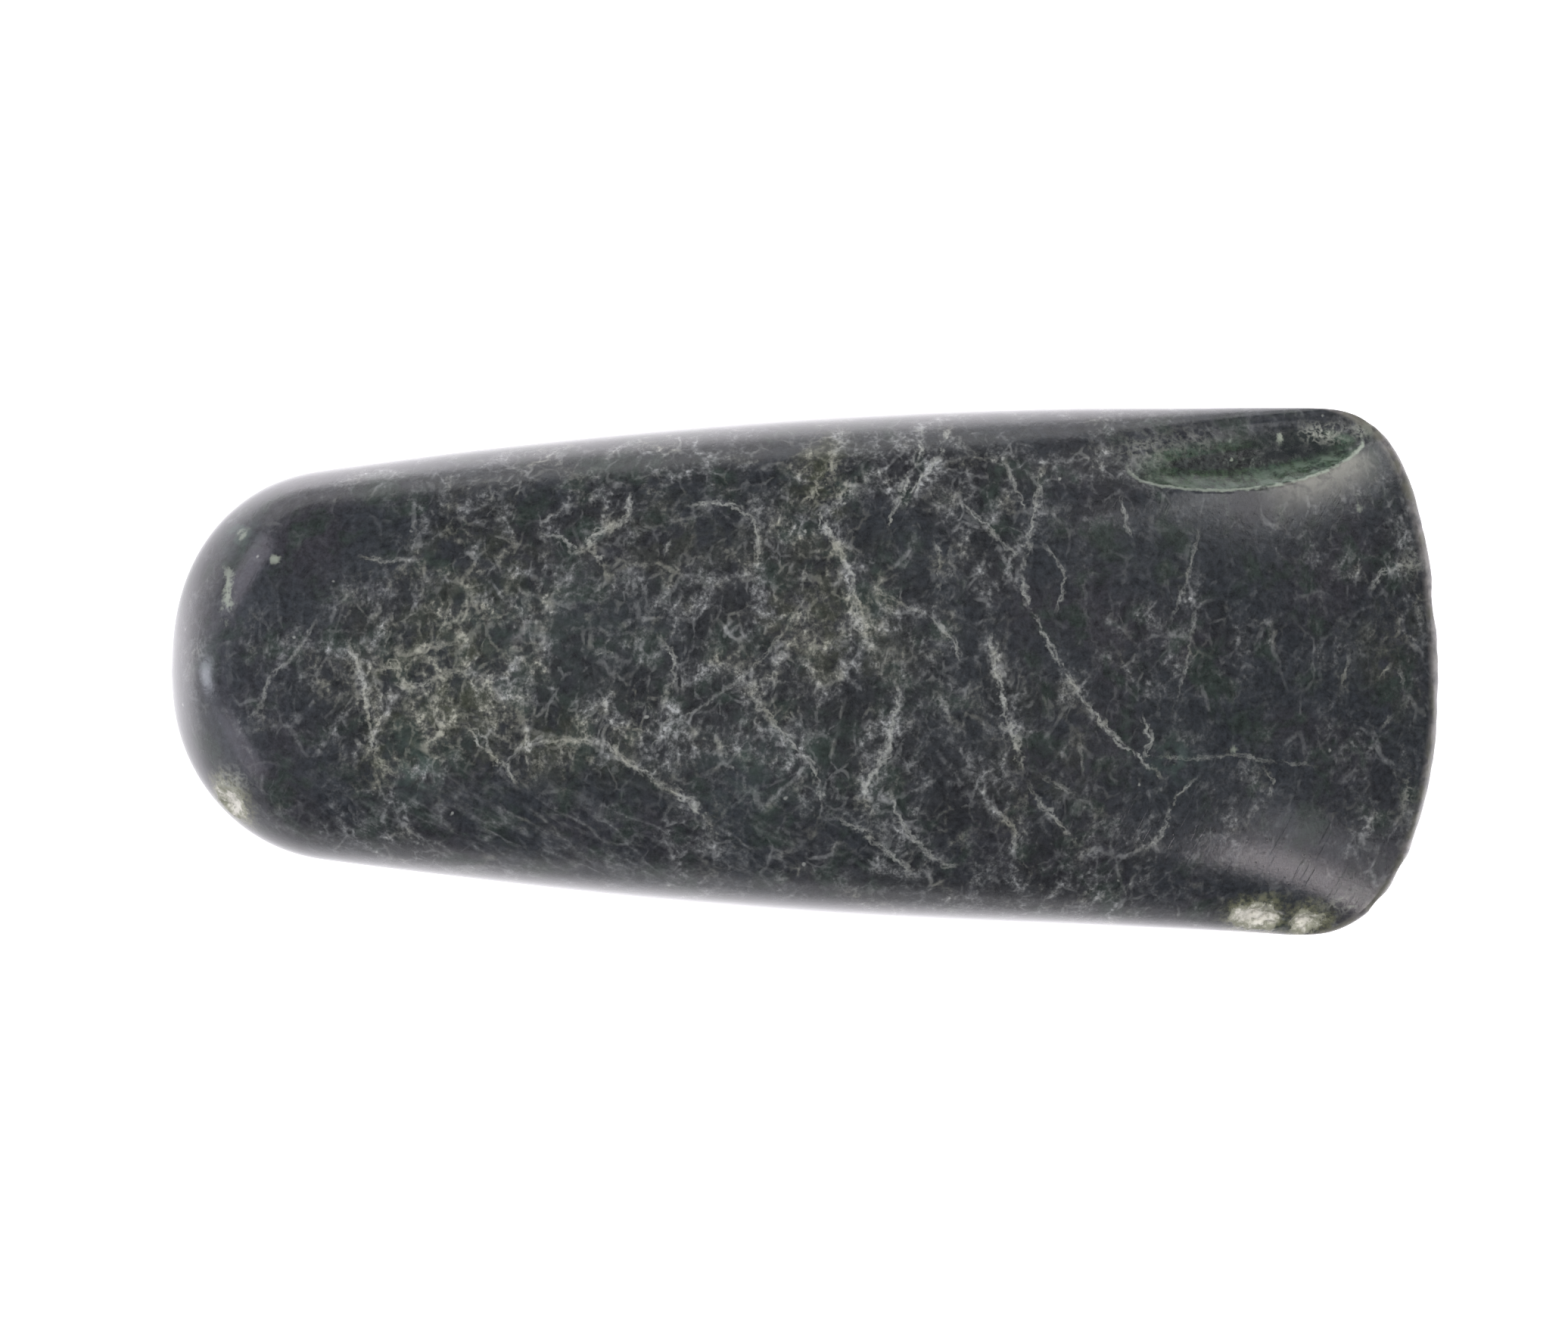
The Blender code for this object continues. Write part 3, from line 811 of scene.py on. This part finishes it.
def veinNetwork(tree, place, around):
    # lightness of the veining: branching threads at two sizes, thin lines between cells, and slanting streaks
    bent = warped(tree, place, 0.25, 1.6)
    upright = stretched(tree, bent, -14.0, (0.9, 1.25, 1.0))
    patchy = drift(tree, place, 0.12, 4.0, 0.6, 2.2)
    here = band(tree, plus(tree, mark(tree, "veining"), patchy), -0.1, 1.2)

    coarse = ridges(tree, upright, 0.21, 4.3, 0.60)
    fine = ridges(tree, shifted(tree, upright, 17.0), 0.60, 2.6, 0.60)
    grit = band(tree, noise(tree, place, 2.3, 4.0, 0.70), 0.30, 0.70, 0.45, 1.45)
    cloud = plus(tree, times(tree, band(tree, coarse, 0.8, 2.4), 0.60),
                 times(tree, band(tree, fine, 0.8, 2.4), 0.42))
    cloud = plus(tree, cloud, times(tree, around, 0.14))
    cloud = times(tree, cloud, plus(tree, times(tree, here, 0.85), 0.33), grit)
    cloud = mathNode(tree, "POWER", cloud, 2.4, clamp=True)

    lines = cracks(tree, warped(tree, warped(tree, upright, 0.5, 1.2), 2.0, 0.25), 0.22, 0.012, 0.055)
    lines = times(tree, lines, band(tree, noise(tree, place, 0.45, 4.0, 0.65), 0.46, 0.62),
                  band(tree, coarse, 0.6, 1.6, 0.25, 1.0), plus(tree, times(tree, here, 0.8), 0.2))
    small = cracks(tree, warped(tree, warped(tree, shifted(tree, upright, 40.0), 0.9, 0.9), 2.6, 0.22),
                   0.40, 0.015, 0.085)
    small = times(tree, small, band(tree, noise(tree, place, 0.9, 4.0, 0.65), 0.42, 0.62),
                  plus(tree, here, 0.05))
    slanted = stretched(tree, warped(tree, place, 0.3, 1.4), -31.0, (3.0, 0.66, 1.0))
    hatch = times(tree, band(tree, ridges(tree, slanted, 0.42, 2.4, 0.5), 0.9, 2.2), mark(tree, "streak"),
                  grit, band(tree, noise(tree, place, 0.8, 3.0, 0.6), 0.34, 0.60, 0.3))

    net = plus(tree, cloud, times(tree, lines, 0.40))
    net = plus(tree, net, times(tree, small, 0.26))
    net = times(tree, mathNode(tree, "ADD", net, times(tree, hatch, 0.55), clamp=True), 0.95)
    return net, here, bent


def scarColours(tree, place, colour):
    # green and wispy towards the arris, with painted shade darkening the hollow farther in
    look = stoneLook
    scarSide, along, up = mark(tree, "scarSide"), mark(tree, "scarAlong"), mark(tree, "scarUp")
    within = larger(tree, times(tree, band(tree, scarSide, 0.0, -0.15), band(tree, up, -0.1, 0.3)),
                    band(tree, scarSide, -0.1, -1.8))
    jitter = drift(tree, place, 0.9, 4.0, 0.6, 2.6)
    depthIn = plus(tree, scarSide, jitter)

    green = times(tree, within, band(tree, depthIn, -6.6, -3.4), band(tree, up, -0.75, -0.1),
                  band(tree, along, -0.95, -0.5))
    tint = band(tree, noise(tree, place, 0.45, 2.0), 0.45, 0.62)
    tint = blend(tree, tint, look["scarGreen"], look["scarTeal"])
    patchyTint = band(tree, noise(tree, place, 0.8, 4.0, 0.65), 0.30, 0.58, 0.5, 1.0)
    colour = blend(tree, times(tree, green, patchyTint, 0.85), colour, tint)
    mottle = noise(tree, place, 1.7, 5.0, 0.75)
    shade = blend(tree, band(tree, mottle, 0.34, 0.66), (0.35, 0.36, 0.34, 1.0), (1.45, 1.55, 1.35, 1.0))
    colour = blend(tree, within, colour, blend(tree, 1.0, colour, shade, "MULTIPLY"))
    wispPlace = stretched(tree, warped(tree, place, 0.6, 1.2), 12.0, (2.0, 0.9, 1.0))
    wisps = band(tree, noise(tree, wispPlace, 1.1, 5.0, 0.65), 0.42, 0.64)
    wisps = times(tree, wisps, green, band(tree, depthIn, -4.2, -0.6), band(tree, along, -0.4, 0.5, 0.4, 1.3))
    colour = blend(tree, wisps, colour, look["scarWisp"])

    # painted shade: darkens the scar's hollow from its middle towards the flank, on the half towards the bit
    hollowShade = times(tree, within, band(tree, plus(tree, up, times(tree, jitter, 0.12)), 0.30, -0.05),
                 band(tree, along, -0.02, 0.28), band(tree, along, 0.85, 0.65))
    colour = blend(tree, times(tree, hollowShade, 0.85), colour, look["scarShade"])

    # pale haze on the skin just outside the arris, on the crown side towards the bit end: partly the stone's
    # own haze, partly a painted sheen that brightens the highlight there
    hazeAndSheen = times(tree, band(tree, plus(tree, scarSide, times(tree, jitter, 0.5)), 3.0, 0.1),
                  band(tree, scarSide, -0.05, 0.05), band(tree, up, 0.0, 0.4), band(tree, along, 0.0, 0.5),
                  band(tree, along, 1.12, 0.85),
                  band(tree, noise(tree, place, 0.9, 4.0, 0.65), 0.30, 0.58, 0.4))
    colour = blend(tree, times(tree, hazeAndSheen, 0.85), colour, look["hazeAndSheen"])

    # pale broken line along the arris, on its crown side: partly the stone's own pale colour, partly a
    # painted highlight
    jag = drift(tree, place, 1.3, 4.0, 0.6, 0.6)
    arris = band(tree, mathNode(tree, "ABSOLUTE", plus(tree, scarSide, jag)), 0.25, 0.04)
    upperPart = band(tree, plus(tree, up, band(tree, along, 0.6, 1.0, 0.0, 0.3)), -0.2, 0.15)
    arris = times(tree, arris, upperPart, band(tree, along, -1.1, -0.7),
                  band(tree, along, -0.5, 0.6, 0.6, 1.0),
                  band(tree, noise(tree, place, 0.8, 3.0, 0.6), 0.34, 0.54, 0.15))
    return blend(tree, arris, colour, look["arris"])


def stoneMaterial():
    look = stoneLook
    material = bpy.data.materials.new("darkGreenstone")
    material.use_nodes = True
    tree = material.node_tree
    shader = tree.nodes["Principled BSDF"]
    shader.inputs["IOR"].default_value = look["ior"]
    place = vectorNode(tree, "SCALE", tree.nodes.new("ShaderNodeTexCoord").outputs["Object"], scale=1.0 / mm)

    single, around = singleVeins(tree, place)
    net, here, bent = veinNetwork(tree, place, around)
    grains = dots(tree, warped(tree, place, 1.5, 0.5), 0.55, 0.08, 0.14)

    # ground colour
    broad = noise(tree, place, 0.13, 4.0, 0.6)
    ground = blend(tree, band(tree, broad, 0.42, 0.62), look["dark"], look["darkPlum"])
    ground = blend(tree, times(tree, band(tree, here, 0.25, 0.75), 0.7), ground, look["darkOlive"])
    moss = times(tree, mark(tree, "olive"), band(tree, noise(tree, bent, 0.33, 4.0, 0.65), 0.44, 0.62), 0.8)
    ground = blend(tree, moss, ground, look["moss"])
    ground = blend(tree, band(tree, noise(tree, bent, 0.26, 4.0, 0.6), 0.50, 0.66), ground, look["darkGreen"])
    mottle = noise(tree, bent, 1.3, 5.0, 0.75)
    shade = blend(tree, band(tree, mottle, 0.30, 0.72), (0.7, 0.7, 0.7, 1.0), (1.9, 1.9, 1.9, 1.0))
    ground = blend(tree, 1.0, ground, shade, "MULTIPLY")

    # olive haze and veins
    olive = plus(tree, times(tree, mark(tree, "olive"), 0.36), times(tree, here, 0.04))
    tint = band(tree, plus(tree, noise(tree, place, 0.35, 3.0), olive), 0.50, 0.80)
    veinColour = blend(tree, tint, look["veinGrey"], look["veinOlive"])
    colour = blend(tree, net, ground, veinColour)
    singleColour = blend(tree, tint, look["veinPale"], look["veinOlive"])
    colour = blend(tree, times(tree, single, 0.75), colour, singleColour)
    colour = blend(tree, times(tree, grains, 0.5), colour, look["veinPale"])
    green = times(tree, mark(tree, "green"), band(tree, noise(tree, place, 0.8, 3.0), 0.35, 0.65))
    colour = blend(tree, times(tree, green, 0.7), colour, look["greenTint"])

    colour = scarColours(tree, place, colour)

    # chalky chips
    ragged = drift(tree, place, 0.7, 5.0, 0.7, 3.6)
    crustSide = plus(tree, mark(tree, "crustSide"), ragged)
    fringe = times(tree, band(tree, crustSide, 2.0, 0.2), band(tree, mark(tree, "crustSide"), 2.6, 1.4),
                   band(tree, noise(tree, place, 1.8, 4.0, 0.7), 0.38, 0.60, 0.2))
    colour = blend(tree, fringe, colour, look["creamFringe"])
    crust = times(tree, band(tree, crustSide, 0.60, -0.05), band(tree, mark(tree, "crustSide"), 1.2, 0.7))
    lightness = mathNode(tree, "SUBTRACT", noise(tree, place, 1.7, 5.0, 0.72), times(tree, crustSide, 0.16))
    creamMix = blend(tree, band(tree, lightness, 0.45, 0.78), look["creamShade"], look["cream"])
    colour = blend(tree, crust, colour, creamMix)
    flecks = times(tree, band(tree, ridges(tree, warped(tree, place, 1.2, 0.6), 1.15, 3.0, 0.6), 0.95, 2.0),
                   mark(tree, "fleck"))
    colour = blend(tree, flecks, colour, look["fleck"])
    spot = plus(tree, mark(tree, "spot"), times(tree, ragged, 0.7))
    spot = times(tree, band(tree, spot, 0.35, 0.75), mark(tree, "spot"))
    colour = blend(tree, spot, colour, look["spotPale"])

    # thin pale brown rim at the cutting edge
    rim = times(tree, band(tree, mark(tree, "edgeSide"), 1.8, 0.8),
                band(tree, noise(tree, place, 0.8, 3.0), 0.36, 0.58, 0.4))
    rimTint = band(tree, noise(tree, place, 0.4, 3.0), 0.45, 0.58)
    rimColour = blend(tree, rimTint, look["edgeGrey"], look["edgeBrown"])
    colour = blend(tree, times(tree, rim, 0.8), colour, rimColour)
    put(tree, shader.inputs["Base Color"], colour)

    # gloss
    scarSide = mark(tree, "scarSide")
    inside = band(tree, scarSide, 0.05, -0.3)
    rough = plus(tree, look["polish"], times(tree, net, 0.08))
    rough = plus(tree, rough, times(tree, mottle, 0.05))
    rough = larger(tree, rough, times(tree, inside, look["scarPolish"]),
                   times(tree, crust, look["crustRoughness"]))
    put(tree, shader.inputs["Roughness"], rough)

    # relief too fine for the mesh
    scratchPlace = stretched(tree, place, 62.0, (9.0, 0.35, 1.0))
    scratches = band(tree, noise(tree, scratchPlace, 1.3, 2.0), 0.62, 0.74)
    pits = dots(tree, place, 1.4, 0.12, 0.22)
    relief = times(tree, noise(tree, place, 2.4, 3.0, 0.6), 0.5)
    relief = mathNode(tree, "SUBTRACT", relief, times(tree, pits, 0.25))
    relief = mathNode(tree, "SUBTRACT", relief, times(tree, scratches, 0.2))
    relief = plus(tree, relief, times(tree, crust, noise(tree, place, 2.6, 3.0, 0.7), 3.0))
    relief = plus(tree, relief, times(tree, inside, noise(tree, place, 1.8, 3.0, 0.65), 0.9))
    bump = tree.nodes.new("ShaderNodeBump")
    bump.inputs["Strength"].default_value = look["bumpStrength"]
    bump.inputs["Distance"].default_value = look["bumpDepth"] * mm
    put(tree, bump.inputs["Height"], relief)
    put(tree, shader.inputs["Normal"], bump.outputs["Normal"])
    return material


stone = stonePiece()
stone.data.materials.append(stoneMaterial())
print("stone piece:", len(stone.data.polygons), "faces")


# ---- stage: a pale lit table and soft lights

stageLook = {
    "floorSize": 4.0,
    "floorColour": (0.80, 0.80, 0.80, 1.0),
    "floorDrop": 0.02,           # mm below the stone, so that the faces don't coincide
    "glow": 0.28,                # light given off by the whole table
    "glowColour": (1.04, 1.0, 1.055, 1.0),
    "pools": [                   # added glow, centre and reach of each pool of light on the table
        (1.6, (0.015, 0.05, 0.0), (0.22, 0.055, 1.0)),
        (1.8, (0.09, -0.03, 0.0), (0.24, 0.054, 1.0)),
        (1.2, (-0.06, 0.055, 0.0), (0.035, 0.05, 1.0)),
        (0.8, (-0.078, 0.0, 0.0), (0.03, 0.035, 1.0)),
        (2.0, (-0.112, 0.0, 0.0), (0.052, 0.03, 1.0)),
        (1.6, (-0.2, 0.0, 0.0), (0.12, 0.05, 1.0)),
    ],
    "horizon": (0.45, 0.455, 0.47, 1.0),
    "overhead": (0.085, 0.09, 0.10, 1.0),
    "horizonHeight": 0.30,       # sine of the elevation where the side light has faded
}


def stageFloor():
    look = stageLook
    half = look["floorSize"] / 2
    mesh = bpy.data.meshes.new("table")
    corners = [(-half, -half, 0), (half, -half, 0), (half, half, 0), (-half, half, 0)]
    mesh.from_pydata(corners, [], [(0, 1, 2, 3)])
    floor = bpy.data.objects.new("table", mesh)
    floor.location.z = -look["floorDrop"] * mm
    material = bpy.data.materials.new("paleTable")
    material.use_nodes = True
    tree = material.node_tree
    shader = tree.nodes["Principled BSDF"]
    shader.inputs["Base Color"].default_value = look["floorColour"]
    shader.inputs["Roughness"].default_value = 0.9
    shader.inputs["Specular IOR Level"].default_value = 0.0
    shader.inputs["Emission Color"].default_value = look["glowColour"]
    place = tree.nodes.new("ShaderNodeTexCoord").outputs["Object"]
    total = look["glow"]
    for glow, centre, reach in look["pools"]:
        pool = tree.nodes.new("ShaderNodeMapping")
        pool.vector_type = "TEXTURE"
        put(tree, pool.inputs["Vector"], place)
        pool.inputs["Location"].default_value = centre
        pool.inputs["Scale"].default_value = reach
        distance = tree.nodes.new("ShaderNodeVectorMath")
        distance.operation = "LENGTH"
        put(tree, distance.inputs[0], pool.outputs[0])
        total = plus(tree, band(tree, distance.outputs["Value"], 0.0, 1.0, glow, 0.0), total)
    put(tree, shader.inputs["Emission Strength"], total)
    mesh.materials.append(material)
    bpy.context.scene.collection.objects.link(floor)


def stageWorld():
    look = stageLook
    world = bpy.data.worlds.new("studio")
    world.use_nodes = True
    tree = world.node_tree
    split = tree.nodes.new("ShaderNodeSeparateXYZ")
    put(tree, split.inputs[0], tree.nodes.new("ShaderNodeTexCoord").outputs["Generated"])
    height = band(tree, split.outputs["Z"], 0.0, look["horizonHeight"])
    sky = blend(tree, height, look["horizon"], look["overhead"])
    put(tree, tree.nodes["Background"].inputs["Color"], sky)
    bpy.context.scene.world = world


softLights = {                   # azimuth and elevation in degrees, size in metres, brightness
    "pollStrip": {"azimuth": 181.0, "elevation": 12.5, "size": (0.30, 0.29), "glow": 4.4,
                  "colour": (0.94, 0.975, 1.09)},
    "pollStripWide": {"azimuth": 187.0, "elevation": 5.5, "size": (1.1, 0.28), "glow": 0.7,
                      "colour": (0.97, 0.97, 1.07)},
    "pollWash": {"azimuth": 180.0, "elevation": 20.0, "size": (1.0, 0.34), "glow": 0.5,
                 "colour": (0.94, 0.975, 1.10)},
    "pollWashLeft": {"azimuth": 143.0, "elevation": 20.0, "size": (0.34, 0.42), "glow": 1.7,
                     "colour": (1.03, 0.95, 1.09)},
    "pollWashRight": {"azimuth": 209.0, "elevation": 27.0, "size": (0.34, 0.48), "glow": 1.2,
                      "colour": (1.03, 0.95, 1.09)},
    "bitLeft": {"azimuth": 40.0, "elevation": 43.0, "size": (0.32, 0.11), "glow": 2.9},
    "bitRight": {"azimuth": -44.0, "elevation": 37.3, "size": (0.18, 0.065), "glow": 8.6, "roll": 30.0,
                 "colour": (1.06, 0.965, 1.0)},
    "bitRightWide": {"azimuth": -30.0, "elevation": 41.5, "size": (0.13, 0.10), "glow": 2.3, "roll": 10.0,
                     "colour": (1.0, 0.98, 1.04)},
    "pollHigh": {"azimuth": 180.0, "elevation": 46.0, "size": (1.0, 0.42), "glow": 0.40,
                 "colour": (0.92, 0.975, 1.13)},
    "bitStrip": {"azimuth": 0.0, "elevation": 3.0, "size": (0.9, 0.20), "glow": 0.9},
    "flankLeft": {"azimuth": 67.0, "elevation": 27.0, "size": (0.22, 0.32), "glow": 0.4},
    "leftWall": {"azimuth": 93.0, "elevation": 2.5, "size": (1.6, 0.22), "glow": 1.1},
    "fill": {"azimuth": 90.0, "elevation": 80.0, "size": (1.2, 1.2), "glow": 2.6, "mirrored": False},
}
lightDistance = 1.0


def softLight(name, azimuth, elevation, size, glow, colour=(1.0, 1.0, 1.0), roll=0.0, mirrored=True):
    light = bpy.data.lights.new(name, "AREA")
    light.shape = "RECTANGLE"
    light.size, light.size_y = size
    light.color = colour
    light.energy = glow * size[0] * size[1] * math.pi
    lamp = bpy.data.objects.new(name, light)
    lamp.visible_camera = False
    lamp.visible_glossy = mirrored
    turn, rise = math.radians(azimuth), math.radians(elevation)
    outward = Vector((math.cos(turn) * math.cos(rise), math.sin(turn) * math.cos(rise), math.sin(rise)))
    lamp.location = outward * lightDistance
    lean = Quaternion((0.0, 0.0, 1.0), math.radians(roll))
    lamp.rotation_euler = (outward.to_track_quat("Z", "Y") @ lean).to_euler()
    bpy.context.scene.collection.objects.link(lamp)


stageFloor()
stageWorld()
for name, settings in softLights.items():
    softLight(name, **settings)
print("stage and lights set")


# ---- camera, straight down

cameraPlan = {
    "viewWidth": 0.1486,         # what the frame covers at the stone's widest level
    "aim": (-0.00204, -0.00007),
    "lens": 100.0,
    "sensor": 36.0,
}
cameraData = bpy.data.cameras.new("overheadCamera")
cameraData.lens = cameraPlan["lens"]
cameraData.sensor_width = cameraPlan["sensor"]
camera = bpy.data.objects.new("overheadCamera", cameraData)
rise = cameraPlan["viewWidth"] * cameraPlan["lens"] / cameraPlan["sensor"]
camera.location = (*cameraPlan["aim"], midPlane * mm + rise)
bpy.context.scene.collection.objects.link(camera)
bpy.context.scene.camera = camera
bpy.context.scene.view_settings.view_transform = "Standard"
print("camera set")
